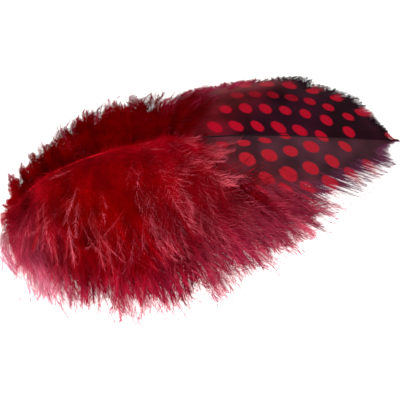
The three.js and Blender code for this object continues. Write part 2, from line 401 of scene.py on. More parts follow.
def vane_reach(side, s):
    """Share of a full barb's length that a vane barb has: less from TIP_SHORTER to the
    tip, and by a few hundredths more or less before, as the margin bulges."""
    by, start = TIP_SHORTER[side]
    reach = 1.0 - by * smoothstep(s, start, 1.0)
    if side == WIDE:
        bulge = 0.95 + 0.08 * smoothstep(s, 0.48, 0.58) - 0.03 * smoothstep(s, 0.66, 0.74)
    else:
        bulge = 1.0 - 0.08 * (smoothstep(s, 0.52, 0.66) - 0.6 * smoothstep(s, 0.62, 0.74))
    return VANE_REACH[side] * reach * bulge


def vane_barbs(side, rng):
    """How the barbs of one side run. Inside the zipped part they keep their places. Past
    it the barbs of a group draw together, stray a little and open at the splits. own is
    how far along the shared surface a barb goes, as it differs from one to the next."""
    number = np.arange(VANE_BARBS)
    s_root = VANE_START + BARB_GAP * (number + 0.5)
    group_ends = np.cumsum(rng.integers(*GROUP_SIZES, VANE_BARBS))
    group = np.searchsorted(group_ends, number, side="right")
    groups = group.max() + 1
    centre = np.array([s_root[group == each].mean() for each in range(groups)])[group]
    closing = rng.uniform(*GROUP_PULL, groups)[group] * CLOSING[side]
    in_down, in_vane, at_tip = ZIPPED[side]
    zipped = lerp(in_down, in_vane, smoothstep(s_root, *MATURING))
    zipped = zipped + (at_tip - in_vane) * smoothstep(s_root, 0.7, 0.85)
    zipped = zipped + rng.normal(0.0, ZIPPED_UNEVEN[side], VANE_BARBS)
    t = np.linspace(0.0, 1.0, BARB_ROWS) ** 0.9
    ease = smoothstep(t[None, :], zipped[:, None] - 0.04, zipped[:, None] + 0.3)
    stray = rng.normal(0.0, STRAYING[side], VANE_BARBS)[:, None] * BARB_GAP * ease
    s = s_root[:, None] + (centre - s_root)[:, None] * closing[:, None] * ease + stray
    s = s + open_split(side, s_root[:, None], t[None, :])
    tip = lerp(MARGIN_HEIGHT[side], TIP_HEIGHT, np.clip((s_root - 0.45) / 0.55, 0.0, 1.0))
    tip = tip + rng.uniform(0.0, MARGIN_UNEVEN[side], VANE_BARBS)
    own = 1.0 + rng.uniform(-1.0, 1.0, VANE_BARBS) * LENGTH_UNEVEN[side]
    steeper = STEEPER[side] * (1.0 - smoothstep(s_root, 0.6, 0.85))
    turn = steeper - TIP_TURN * smoothstep(s_root, 0.94, 1.0)
    reach = vane_reach(side, s_root) * (1.0 - 0.014 * steeper)
    return dict(s=s, t=t, s_root=s_root, zipped=zipped, tip=tip, own=own, turn=turn, reach=reach)


def vane_strips(side, barbs, s, half, across, lift, spot, loose):
    """A strip for every barb, with a column of points at each place across it, in half
    widths, raised there by lift. spot and loose colour it."""
    run = (barbs["t"][None, :] * barbs["own"][:, None]) * BARB_END
    tip, turn, reach = (barbs[label][:, None] for label in ("tip", "turn", "reach"))
    columns = []
    for place, up in zip(across, lift):
        points = barb_point(side, s + place * half, run, tip, BARB_LOFT, turn, reach)
        points[..., 2] += up
        columns.append(points)
    grid = np.stack(columns, axis=2)
    if side == NARROW:
        grid = grid[:, :, ::-1]
    u = (np.arange(VANE_BARBS)[:, None, None] + 0.5 + 0.4 * np.array(across)) / VANE_BARBS
    uv = np.stack(np.broadcast_arrays(u, 0.02 + 0.96 * barbs["t"][None, :, None]), axis=-1)

    def spread_out(values):
        """A value for each barb and row, for each column too."""
        return np.broadcast_to(values[:, :, None], grid.shape[:3])

    place = np.broadcast_to(barbs["s_root"][:, None], spot.shape)
    return sheets(grid, uv, spot=spread_out(spot), loose=spread_out(loose), place=spread_out(place))


def vane_sheet(side, barbs):
    """The barbs as ribbons with a raised middle, over a sheet of hooked barbules. Inside
    the zipped part a ribbon is as wide as the gap to the next, and past it thins to a
    hair. In the hatch the ribbons stand apart over a sheet with smaller spots, so the
    spots there look brushed on barb by barb."""
    t = barbs["t"][None, :]
    s, s_root, zipped = barbs["s"], barbs["s_root"][:, None], barbs["zipped"][:, None]
    run = t * barbs["own"][:, None]
    loose = smoothstep(t, zipped - 0.4 * PARTING[side], zipped + PARTING[side])
    hatch = smoothstep(run, 0.44, 0.50) - smoothstep(run, 0.64, 0.72)
    hatch = HATCHED[side] * hatch * (1.0 - smoothstep(s_root, 0.62, 0.72))
    free_half = BARB_GAP * FREE_WIDTH[side] * (1.0 - 0.75 * t ** 2)
    half = lerp(BARB_GAP * lerp(0.54, 0.30, hatch), free_half, loose)
    web_half = lerp(BARB_GAP * WEB_WIDTH, 0.01 * half, loose)
    on_shared_surface = barb_point(side, s_root, run * barbs["reach"][:, None], barbs["tip"][:, None],
                                   0.0, barbs["turn"][:, None])
    spot = spot_distance(on_shared_surface)
    ribbons = vane_strips(side, barbs, s, half, (-1.0, 0.0, 1.0), (0.0, RIDGE_HEIGHT, 0.0), spot, loose)
    web = vane_strips(side, barbs, lerp(s_root, s, WEB_DRIFT), web_half, (-1.0, 1.0),
                      (-WEB_DEPTH, -WEB_DEPTH), spot + HATCH_DEPTH * hatch, loose)
    return [ribbons, web]


def hairs(roots, directions, lengths, width, sag, rng, uv, bends=2, **attributes):
    """Thin tapered ribbons from each root, of bends quads each: straight out along a
    direction, bent by sag at the end. Each lies flat, give or take a random roll. uv
    gives a hair's column, its row and how far it runs across its barb's column."""
    upward = np.array([0.0, 0.0, 1.0]) + rng.normal(0.0, 0.4, directions.shape)
    facing = unit(np.cross(directions, upward))
    shares = np.linspace(0.0, 1.0, bends + 1)
    rows = []
    for q in shares:
        middle = roots + directions * (lengths * q)[:, None] + sag * (lengths * q * q)[:, None]
        half = 0.5 * width * (1.0 - 0.75 * q)
        rows.append(np.stack([middle - facing * half, middle + facing * half], axis=1))
    grid = np.stack(rows, axis=1)
    column = np.array([-0.5, 0.5])[None, None, :]
    row = shares[None, :, None]
    u = uv[:, 0, None, None] + uv[:, 2, None, None] * (row + 0.3 * column)
    v = uv[:, 1, None, None] + 0.004 * column
    grid_uv = np.stack(np.broadcast_arrays(u, v), axis=-1)
    stored = {name: np.broadcast_to(values[:, None, None], grid.shape[:3])
              for name, values in attributes.items()}
    return sheets(grid, grid_uv, **stored)


def vane_fringe(side, barbs, rng):
    """Hooklets that have come loose past the zipped part: short hairs on both sides of
    each barb's free end, leaning to its tip. The first barbs, half down still, carry
    more of them."""
    each = np.where(barbs["s_root"] < 0.5, DOWNY_FRINGE_HAIRS, FRINGE_HAIRS[side])
    owner = np.repeat(np.arange(VANE_BARBS), each)
    s_root, zipped, own, tip, turn, reach = (
        barbs[label][owner] for label in ("s_root", "zipped", "own", "tip", "turn", "reach"))
    start = np.minimum(zipped - 0.08, 0.86)
    t = lerp(start, BARB_END, rng.uniform(0.0, 1.0, owner.size) ** 0.8)
    s = np.empty(owner.size)
    for number in range(VANE_BARBS):
        mine = owner == number
        s[mine] = np.interp(t[mine], barbs["t"], barbs["s"][number])
    t = t * own
    roots = barb_point(side, s, t, tip, BARB_LOFT, turn, reach)
    tangent = unit(barb_point(side, s, t + 0.01, tip, BARB_LOFT, turn, reach) - roots)
    outward = -unit(np.cross(tangent, [0.0, 0.0, float(side)]))
    hand = np.where(rng.uniform(size=owner.size) < 0.5, -1.0, 1.0)
    splay = FRINGE_SPLAY[side] * (1.0 - smoothstep(s_root, 0.55, 0.85)) * smoothstep(t, 0.8, 0.95)
    lean = np.radians(rng.uniform(*FRINGE_LEAN[side], owner.size) * hand + splay)[:, None]
    lift = rng.normal(0.0, 0.12, owner.size)[:, None] * np.array([0.0, 0.0, 1.0])
    direction = unit(tangent * np.cos(lean) + outward * np.sin(lean) + lift)
    lengths = rng.uniform(*FRINGE_LENGTH[side], owner.size) * MM
    lengths = lengths * (1.0 - 0.55 * smoothstep(s_root, 0.82, 0.97))
    sag = rng.normal(0.0, 0.06, roots.shape)
    u = (owner + 0.5) / VANE_BARBS
    uv = np.stack([u, 0.02 + 0.96 * t, 0.4 / VANE_BARBS * hand], axis=-1)
    spot = spot_distance(barb_point(side, s_root, t * reach, tip, 0.0, turn))
    return hairs(roots, direction, lengths, FRINGE_WIDTH[side], sag, rng, uv,
                 spot=spot, loose=np.ones(t.size), place=s_root)


def spotted_barbs(name, spot, ground, base, fringe, gloss):
    """Closed feather vane: hard keratin with a satin sheen along each barb. Colour comes
    from the distance to the nearest spot, roughened from barb to barb as the dye takes,
    with patches of painted sheen on the ground.
    base is the ground where the vane begins, and fringe that of the loose barbs."""
    material, tree, output = new_material(name)
    across, along = uv_shares(tree)
    distance, loose, place = (
        add_node(tree, "ShaderNodeAttribute", {"attribute_name": label}).outputs["Fac"]
        for label in ("spot", "loose", "place"))

    # Noise, a barb wide and drawn out along it, shifts the spots' edges by up to 0.25 mm.
    on_barb = add_node(tree, "ShaderNodeCombineXYZ", X=across, Y=along)
    stretched = add_node(tree, "ShaderNodeVectorMath", {"operation": "MULTIPLY"},
                         _0=on_barb.outputs[0], _1=(float(VANE_BARBS), 14.0, 1.0))
    ragged = add_node(tree, "ShaderNodeTexNoise", Vector=stretched.outputs[0], Scale=1.0, Detail=2.0)
    shift = add_node(tree, "ShaderNodeMath", {"operation": "MULTIPLY_ADD"},
                     _0=ragged.outputs["Fac"], _1=0.5, _2=-0.25)
    edge = add_node(tree, "ShaderNodeMath", {"operation": "ADD"}, _0=distance, _1=shift.outputs[0])
    inside = add_node(tree, "ShaderNodeMapRange", {"interpolation_type": "SMOOTHSTEP"},
                      Value=edge.outputs[0], From_Min=0.16, From_Max=-0.16)

    # The ground reddens towards the down, and patches of painted sheen make it lighter or darker.
    inner = add_node(tree, "ShaderNodeMapRange", {"interpolation_type": "SMOOTHSTEP"},
                     Value=place, From_Min=0.62, From_Max=0.47)
    closed = add_node(tree, "ShaderNodeMix", {"data_type": "RGBA"},
                      _0=inner.outputs[0], _6=linear(ground), _7=linear(base))
    position = add_node(tree, "ShaderNodeTexCoord").outputs["Object"]
    painted_sheen_noise = add_node(tree, "ShaderNodeTexNoise", Vector=position, Scale=1.0 / PAINTED_SHEEN_SIZE, Detail=1.0)
    painted_sheen = add_node(tree, "ShaderNodeMapRange",
                     Value=painted_sheen_noise.outputs["Fac"], From_Min=0.35, From_Max=0.65, To_Min=0.55, To_Max=1.5)
    painted_sheen_ground = add_node(tree, "ShaderNodeHueSaturation", Value=painted_sheen.outputs[0], Color=closed.outputs[2])

    # Loose barbs have colours of their own, again redder towards the down.
    downy = add_node(tree, "ShaderNodeMapRange", {"interpolation_type": "SMOOTHSTEP"},
                     Value=place, From_Min=0.55, From_Max=0.47)
    free = add_node(tree, "ShaderNodeMix", {"data_type": "RGBA"},
                    _0=downy.outputs[0], _6=linear(fringe), _7=linear(DOWNY_FRINGE_HEX))
    dark = add_node(tree, "ShaderNodeMix", {"data_type": "RGBA"},
                    _0=loose, _6=painted_sheen_ground.outputs[0], _7=free.outputs[2])
    red = add_node(tree, "ShaderNodeMix", {"data_type": "RGBA"},
                   _0=loose, _6=linear(spot), _7=linear(LOOSE_SPOT_HEX))
    colour = add_node(tree, "ShaderNodeMix", {"data_type": "RGBA"},
                      _0=inside.outputs[0], _6=dark.outputs[2], _7=red.outputs[2])
    uneven = add_node(tree, "ShaderNodeMapRange", Value=ragged.outputs["Fac"], To_Min=0.75, To_Max=1.25)
    toned = add_node(tree, "ShaderNodeHueSaturation", Value=uneven.outputs[0], Color=colour.outputs[2])
    shader = add_node(tree, "ShaderNodeBsdfPrincipled", Base_Color=toned.outputs[0],
                      Roughness=0.5, IOR=KERATIN_IOR, Specular_IOR_Level=gloss)
    tree.links.new(shader.outputs[0], output.inputs["Surface"])
    return material


VANE_SEED = 20
for side, name in ((WIDE, "vane_wide_side"), (NARROW, "vane_narrow_side")):
    rng = np.random.default_rng(VANE_SEED + side)
    barbs = vane_barbs(side, rng)
    parts = [*vane_sheet(side, barbs), vane_fringe(side, barbs, rng)]
    piece(name, spotted_barbs("spotted_" + name, **VANE_FINISH[side]), parts)

# ---------------------------------------------------------------------------------------
# Down. Barbs of the inner half carry long loose barbules without hooks, so they don't
# zip: they gather in soft pointed locks that fall over the surface on both sides. The
# afterfeather is a smaller plume of the same down, under the quill.
# ---------------------------------------------------------------------------------------
# A row of locks: its side and its first and last place on the shaft; its locks, their
# reach in full barbs and how much it varies; the degrees by which its first and last
# lock lean to the quill; in millimetres how high full barbs end, how high they rise on
# the way and how wide a lock is; the barbs in a lock, the barbules on each side of a
# barb and their width in millimetres; and its paleness, above 0 a paler dye, on the
# crest rows partly a painted highlight, and below 0 painted shade, on rows that lie
# under others.
Row = namedtuple("Row", "side first last locks reach spread lean tip loft width "
                        "barbs barbules barbule_width pale")
# A row's random numbers follow from its place in this list.
DOWN_ROWS = {
    "down_wide_side":
        Row(WIDE, 0.0, 0.44, 26, 1.02, 0.2, (-24, 0), 0.9, 1.8, 3.6, 11, 52, 0.075, 0.0),
    "tufts_wide_side":
        Row(WIDE, 0.0, 0.43, 60, 0.7, 0.66, (-18, 6), 1.4, 2.6, 2.3, 6, 44, 0.07, 0.0),
    "down_narrow_side":
        Row(NARROW, 0.0, 0.46, 17, 0.8, 0.16, (-9, 0), 2.2, 1.6, 2.6, 11, 46, 0.065, 0.0),
    "tufts_narrow_side":
        Row(NARROW, 0.0, 0.43, 40, 0.56, 0.5, (-14, 0), 2.6, 2.0, 2.0, 5, 36, 0.06, 0.0),
    "vane_base_down":
        Row(WIDE, 0.37, 0.5, 16, 0.97, 0.12, (0, 0), 0.4, -1.0, 2.8, 10, 56, 0.08, -0.05),
    "underdown_wide_side":
        Row(WIDE, 0.0, 0.5, 32, 0.9, 0.12, (-24, 0), 0.0, -1.2, 5.2, 8, 50, 0.2, -0.3),
    "underdown_narrow_side":
        Row(NARROW, 0.01, 0.5, 14, 0.76, 0.1, (-20, 0), 0.6, -1.4, 5.0, 10, 46, 0.16, -0.4),
    "afterfeather_wide_side":
        Row(WIDE, 0.03, 0.09, 4, 1.5, 0.2, (-58, -102), 0.2, -0.6, 5.6, 12, 50, 0.08, -0.3),
    "afterfeather_narrow_side":
        Row(NARROW, 0.03, 0.09, 4, 2.9, 0.2, (-58, -102), 0.2, -0.6, 5.6, 12, 50, 0.08, -0.3),
    "crest_along_shaft":
        Row(WIDE, 0.2, 0.37, 14, 0.28, 0.3, (-96, -70), 12.0, 0.6, 1.6, 4, 40, 0.05, 0.25),
    "crest_wide_side":
        Row(WIDE, 0.24, 0.43, 14, 0.4, 0.3, (-58, -34), 8.4, 1.5, 1.6, 4, 40, 0.05, 0.2),
    "loose_barbs":
        Row(WIDE, 0.1, 0.42, 14, 0.5, 0.9, (14, 16), 7.0, 2.2, 0.6, 1, 20, 0.05, 0.5),
    "loose_barbs_at_vane":
        Row(WIDE, 0.33, 0.47, 18, 0.78, 0.5, (14, 44), 5.6, 1.6, 1.4, 2, 36, 0.05, 0.25),
    "wisps_wide_side":
        Row(WIDE, 0.02, 0.46, 16, 1.04, 0.12, (-18, -8), 0.4, 0.8, 1.2, 4, 50, 0.05, 0.3),
    "wisps_narrow_side":
        Row(NARROW, 0.0, 0.36, 15, 0.94, 0.14, (-6, -4), 3.0, 1.6, 1.6, 7, 44, 0.05, 0.0),
    "quill_lock":
        Row(WIDE, 0.0, 0.008, 2, 0.9, 0.0, (-11, -11), 1.0, 0.6, 2.2, 6, 60, 0.05, 0.9),
    "quill_wisps":
        Row(WIDE, 0.02, 0.15, 5, 1.14, 0.1, (-10, -8), 0.3, 0.4, 0.9, 3, 50, 0.05, 0.25),
    "quill_tuft_wide_side":
        Row(WIDE, 0.0, 0.014, 4, 0.26, 0.3, (26, 0), 1.6, 0.6, 2.6, 8, 44, 0.06, 0.3),
    "quill_tuft_narrow_side":
        Row(NARROW, 0.0, 0.014, 4, 0.4, 0.3, (36, 0), 1.6, 0.6, 2.6, 8, 44, 0.06, 0.0),
}
DOWN_SEED = 40
GOLDEN = 0.618034                  # steps for spread
PLASTIC = 0.754878
DOWN_CROWDING = 0.85               # below 1 the locks stand closer towards the vane
ANGLE_SPREAD = 10.0                # degrees
SWEEP = {WIDE: 9.0, NARROW: 3.0}   # degrees by which a lock curves to one side
HEIGHT_SPREAD = 2.6 * MM
LOCK_REST = 0.12 * MM              # lowest height of a barb's end
QUILL_LONGER = {WIDE: 0.15, NARROW: 0.3}         # how much farther the first lock of a row reaches
OUTLINE_SWELLS = ((0.1, 0.1, 0.08), (-0.04, 0.35, 0.12))      # by how much, where in the row, how wide
VANE_BASE_REACH = (0.9, 1.06)
MATTED_SHORTER = {WIDE: 0.3, NARROW: 0.45}       # so the bed of down stays under the locks
HAZE = (0.1, 0.26)                 # on the narrow side the quill's down is a haze, up to here
HAZE_WIDTH = 0.3                   # half width of a lock in the haze, in lock widths
STRAYS = 0.16                      # share of the barbs that leave their lock
BARB_BEND = 3.0                    # degrees
MATTED_BEND = 6.0
STRAY_BEND = 10.0
WAVINESS = {WIDE: 1.2, NARROW: 0.4}      # millimetres by which the locks and barbs swing aside
LOOSE_HOOK = 3.2 * MM              # a loose barb's end hangs this far back to the quill
STEM_ROWS = 12
STEM_WIDTH = 0.1 * MM
MATTED_WIDTH = 0.95 * MM           # barbs at the bottom of the pile, matted to a soft bed
BARBULE_LENGTH = 2.9 * MM
SHORTER_TO_TIP = {WIDE: 0.5, NARROW: 0.65}       # how much shorter the last barbules are
CLOSEST_ANGLE = {WIDE: 12.0, NARROW: 9.0}        # degrees between barb and barbule, at its tip
BARBULE_CURL = {WIDE: 0.26, NARROW: 0.16}
BARBULE_SAG = 0.08
# Rare paler barbs are paler dye, and also stand for painted highlights on single barbs.
PALE_BARBS = (0.03, 0.45)          # how many barbs took little dye, and how much paler they are


def lock_reaches(name, place):
    """How far the locks at each place of a row reach, in full barbs: uneven by spread,
    farther at the quill end, by bell curves on the wide side and less in the bed."""
    row = DOWN_ROWS[name]
    reach = row.reach * (1.0 + row.spread * spread(np.arange(row.locks) + 1, GOLDEN))
    reach = reach * (1.0 + QUILL_LONGER[row.side] * (1.0 - place) ** 4)
    if row.side == WIDE:
        swells = [by * np.exp(-((place - at) / wide) ** 2) for by, at, wide in OUTLINE_SWELLS]
        reach = reach * (1.0 + sum(swells))
    if name == "vane_base_down":
        reach = reach * lerp(*VANE_BASE_REACH, place)
    if name.startswith("underdown"):
        reach = reach * (1.0 - MATTED_SHORTER[row.side] * (1.0 - place) ** 5)
    return reach


def lay_barbs(name, rng):
    """Where the barbs of a row run. A lock's barbs leave the shaft side by side, widen
    to the lock's spindle outline and meet at its end, the middle ones reaching farthest;
    in the haze they run side by side, unevenly long. Returns a function for the points
    at shares t of the barbs, and each barb's place on the shaft, reach and paleness."""
    row = DOWN_ROWS[name]
    side, reach, loft = row.side, row.reach, row.loft
    matted = name.startswith("underdown")
    lock = np.arange(row.locks)
    place = ((lock + 0.5) / row.locks) ** DOWN_CROWDING
    s_lock = lerp(row.first, row.last, place)
    gap = np.gradient(s_lock) * SHAFT_LENGTH
    lock_reach = lock_reaches(name, place)
    lock_turn = lerp(row.lean[1], row.lean[0], (1.0 - place) ** 2)
    lock_turn = lock_turn + ANGLE_SPREAD * (1.0 + 2.4 * row.spread) * spread(lock + 1, PLASTIC)
    full = np.minimum(lock_reach, 1.0)
    lock_tip = lerp(shaft_point(s_lock)[:, 2], row.tip * MM, full ** 1.7)
    lock_tip = lock_tip + 4.0 * loft * MM * full * (1.0 - full)
    lock_tip = lock_tip + HEIGHT_SPREAD * np.maximum(spread(lock + 3, GOLDEN), -0.35)
    lock_wave = rng.normal(0.0, WAVINESS[side], row.locks)[:, None] * MM
    lock_sweep = rng.normal(0.0, SWEEP[side], row.locks) * (1.0 + row.spread)
    lock_wave_start = rng.uniform(0.0, 6.3, row.locks)[:, None]

    count = row.locks * row.barbs
    owner = np.repeat(lock, row.barbs)
    s = s_lock[owner][:, None]
    across = (np.tile(np.arange(row.barbs), row.locks) + 0.5) / row.barbs * 2.0 - 1.0
    across = across + rng.normal(0.0, 0.06, count)
    stray = rng.uniform(size=count) < STRAYS
    hazy = (1.0 - smoothstep(s, *HAZE)) * (side == NARROW)
    share = 1.06 - 0.1 * across ** 2 - rng.uniform(0.0, 0.16, count) * (1.0 + 1.6 * hazy[:, 0])
    bend = rng.normal(0.0, MATTED_BEND if matted else BARB_BEND, count)
    bend = bend + np.where(stray, rng.normal(0.0, STRAY_BEND, count), 0.0)
    barb_reach = (lock_reach[owner] * share)[:, None]
    turn = (lock_turn[owner] + bend)[:, None]
    end = np.maximum(lock_tip[owner] + rng.uniform(-0.3, 0.9, count) * MM, LOCK_REST)[:, None]
    lock_rise = loft * MM + rng.uniform(-0.9, 0.9, row.locks) * MM * (0.4 + abs(loft) / 2.4)
    rise = (lock_rise[owner] + rng.uniform(-0.35, 0.35, count) * MM)[:, None]
    wave = rng.normal(0.0, 0.2 * WAVINESS[side], count)[:, None] * MM
    wave_start = rng.uniform(0.0, 6.3, count)[:, None]

    def barb_at(t):
        """Points of every barb at the shares t, one row of t for each barb."""
        if name == "underdown_wide_side":
            half = row.width * MM * (0.5 - 0.15 * t ** 8)
        else:
            spindle = 0.12 + 0.38 * np.sin(np.pi * t ** 1.15)
            half = row.width * MM * spindle * (1.0 - 0.5 * t ** 8)
        half = lerp(half, HAZE_WIDTH * row.width * MM, hazy)
        aside = across[:, None] * lerp(half, 0.5 * gap[owner][:, None], (1.0 - t) ** 3)
        aside = aside + wave * t * np.sin(wave_start + 7.0 * t)
        lock_swing = lock_wave[owner] * t * np.sin(lock_wave_start[owner] + 5.0 * t)
        aside = aside + lock_swing * min(1.0, reach)
        if row.barbs == 1:
            aside = aside - LOOSE_HOOK * t ** 3
        swept = turn + lock_sweep[owner][:, None] * (t ** 2 - 0.5)
        return barb_point(side, s, t, end, rise, swept, barb_reach, aside)

    # Paleness carries the row's dye, painted shade below 0 on rows under others, and rare paler barbs
    # that also stand for painted highlights.
    pale = row.pale + rng.normal(0.0, 0.16, row.locks)[owner] + rng.normal(0.0, 0.04, count)
    rare, paler = PALE_BARBS
    pale = pale + paler * (rng.uniform(size=count) < rare)
    return barb_at, s, barb_reach, pale[:, None]


def painted_lock_shade(t):
    """Painted shade and light on a lock: darker near the shaft, where others lie over it, and lighter at
    its end.
    """
    return 0.42 * (smoothstep(t, 0.35, 1.0) - 0.4)


def stems(name, barb_at, s, reach, pale):
    """The barbs of a row as low roofs of two slopes, thinning to the tip; in the bed they
    are as wide as a matted bundle until near the end."""
    row = DOWN_ROWS[name]
    count = len(s)
    t = np.broadcast_to(np.linspace(0.0, 1.0, STEM_ROWS), (count, STEM_ROWS))
    middle = barb_at(t)
    tangent = unit(np.gradient(middle, axis=1))
    flank = unit(np.cross(tangent, [0.0, 0.0, 1.0]))
    if name.startswith("underdown"):
        width = MATTED_WIDTH * (1.0 - 0.92 * t ** (9 if row.side == WIDE else 5))
    else:
        width = STEM_WIDTH * (1.0 - 0.7 * t)
    half = 0.5 * width[..., None]
    ridge = middle + np.array([0.0, 0.0, 1.0]) * np.minimum(half, STEM_WIDTH)
    grid = np.stack([middle - flank * half, ridge, middle + flank * half], axis=2)
    column = np.array([-0.06, 0.0, 0.06])
    u = (np.arange(count)[:, None, None] + 0.5 + column) / count
    uv = np.stack(np.broadcast_arrays(u, 0.02 + 0.96 * t[..., None]), axis=-1)
    # The tone carries the lock's painted shade near the shaft and painted light at its end.
    tone = pale + 0.05 + painted_lock_shade(t)
    if row.barbs == 1:
        tone = tone * smoothstep(t, 0.4, 0.7)
    out = t * reach / max(1.0, row.reach)
    stored = dict(pale=tone, place=np.broadcast_to(s, t.shape), out=out)
    return sheets(grid, uv, **{label: np.broadcast_to(values[..., None], grid.shape[:3])
                               for label, values in stored.items()})


def barbules(name, hand, t, barb_at, s, reach, pale, rng):
    """Barbules off one flank of every barb, at the shares t of it. They stand wide near
    the shaft, close up and shorten to the tip, and are longest towards the quill next to
    the vane. Each has a random opening, roll, length, tone and curl."""
    row = DOWN_ROWS[name]
    alone = row.barbs == 1
    count = len(s)
    root = barb_at(t)
    tangent = unit(barb_at(t + 0.01) - root)
    flank = unit(np.cross(tangent, [0.0, 0.0, 1.0]))
    top = np.cross(flank, tangent)
    to_quill = smoothstep(s, 0.3, 0.44) * (hand * row.side > 0)
    hazy = (1.0 - smoothstep(s, *HAZE)) * (row.side == NARROW)
    angle = lerp(60.0, 34.0 if alone else CLOSEST_ANGLE[row.side], t ** 1.6) + 14.0 * to_quill
    angle = np.radians(angle + rng.normal(0.0, 13.0, t.shape) * (1.0 - 0.6 * t))[..., None]
    roll = rng.normal(0.2, 0.6, t.shape)[..., None]
    sideways = hand * flank * np.cos(roll) + top * np.sin(roll)
    direction = unit(tangent * np.cos(angle) + sideways * np.sin(angle))
    lengths = np.minimum(BARBULE_LENGTH, 0.9 * MM + 0.11 * barb_length(row.side, s) * reach)
    lengths = lengths * (1.0 - (SHORTER_TO_TIP[row.side] + 0.25 * hazy) * t ** 2)
    lengths = lengths * rng.uniform(0.5, 1.15, t.shape)
    lengths = lengths * lerp(0.35, 1.0, smoothstep(t, 0.0, 0.14)) * (0.7 if alone else 1.0)
    lengths = lengths * (1.0 + 0.35 * to_quill)
    # The tone carries the lock's painted shade near the shaft and painted light at its end.
    tone = pale + 0.25 * to_quill + rng.normal(0.0, 0.08, t.shape) + painted_lock_shade(t)
    curl = rng.normal(0.0, BARBULE_CURL[row.side], (t.size, 3)) * (1.0 - 0.6 * t).reshape(-1, 1)
    curl = curl - np.array([0.0, 0.0, BARBULE_SAG])
    u = np.broadcast_to((np.arange(count)[:, None] + 0.5 + hand * 0.08) / count, t.shape)
    uv = np.stack([u, 0.02 + 0.96 * t, np.full(t.shape, hand * 0.38 / count)], axis=-1)
    place = np.broadcast_to(s, t.shape)
    out = t * reach / max(1.0, row.reach)
    return hairs(root.reshape(-1, 3), direction.reshape(-1, 3), lengths.ravel(), row.barbule_width * MM,
                 curl, rng, uv.reshape(-1, 3), bends=2 if row.pale >= 0 else 1,
                 pale=tone.ravel(), place=place.ravel(), out=out.ravel())


def down_row(name, rng):
    """All barbs of one row of locks, and the barbules on both flanks of each. Next to
    the vane the barbs are bare at first, and a barb that lies alone for half its way."""
    row = DOWN_ROWS[name]
    barb_at, s, reach, pale = lay_barbs(name, rng)
    shape = (row.locks * row.barbs, row.barbules)
    shares = (np.arange(row.barbules)[None, :] + rng.uniform(0.0, 1.0, shape)) / row.barbules
    bare = 0.55 if row.barbs == 1 else 0.05 + 0.37 * smoothstep(s, 0.44, 0.47)
    t = lerp(bare, 0.99, shares ** 0.85)
    parts = [stems(name, barb_at, s, reach, pale)]
    for hand in (-1.0, 1.0):
        parts.append(barbules(name, hand, t, barb_at, s, reach, pale, rng))
    return parts


# Dyed down turns from one run of colours to the next between these places on the shaft.
# A run goes from the shaft, at 0, to the end of the longest barb, at 1.
WIDE_DOWN_ZONES = ((0.02, 0.16), (0.3, 0.42))
# Each run is darker near the shaft and lighter out at the ends: partly the dye, partly painted shade
# where the layers lie thick.
WIDE_DOWN_RUNS = (
    ((0.0, "#A00A1C"), (0.25, "#9A0A1C"), (0.5, "#A8223A"), (0.85, "#B2405A"), (1.0, "#BC7084")),
    ((0.0, "#A8061A"), (0.12, "#7C0006"), (0.4, "#720000"), (0.75, "#82000A"), (0.92, "#961634"),
     (1.0, "#A84862")),
    ((0.0, "#8E0216"), (0.3, "#740008"), (0.6, "#720614"), (0.92, "#8A1E3C"), (1.0, "#9A465C")),
)
NARROW_DOWN_ZONES = ((0.02, 0.1), (0.28, 0.4))
# The narrow side's runs are darker still: partly its dye, partly painted shade of the far slope, which
# faces away from the light.
NARROW_DOWN_RUNS_WITH_PAINTED_SHADE = (
    ((0.0, "#8C0004"), (0.4, "#84000A"), (0.65, "#7C0A2A"), (0.85, "#84285A")),
    ((0.0, "#6C0000"), (0.5, "#640000"), (0.72, "#700820"), (0.88, "#8A2A56")),
    ((0.0, "#5A0000"), (0.5, "#5E0006"), (0.72, "#6C0C26"), (0.88, "#842C50")),
)
# The pale colours are paler dye, on rare barbs also a painted highlight; the deep ones are painted shade
# for barbs under others.
WIDE_PALE_HEX = "#CC5C6C"
WIDE_PAINTED_SHADE_HEX = "#580000"
NARROW_PALE_HEX = "#A03C60"
NARROW_PAINTED_SHADE_HEX = "#400000"
# The clump patches are painted shade and light: hollows of the pile darker, ridges lighter.
PAINTED_CLUMP_SIZE = 4.7619 * MM           # of the patches in which the pile is lighter or darker
LET_THROUGH = 0.35                 # share of the light that passes through a barbule
DOWN_IOR = 1.45


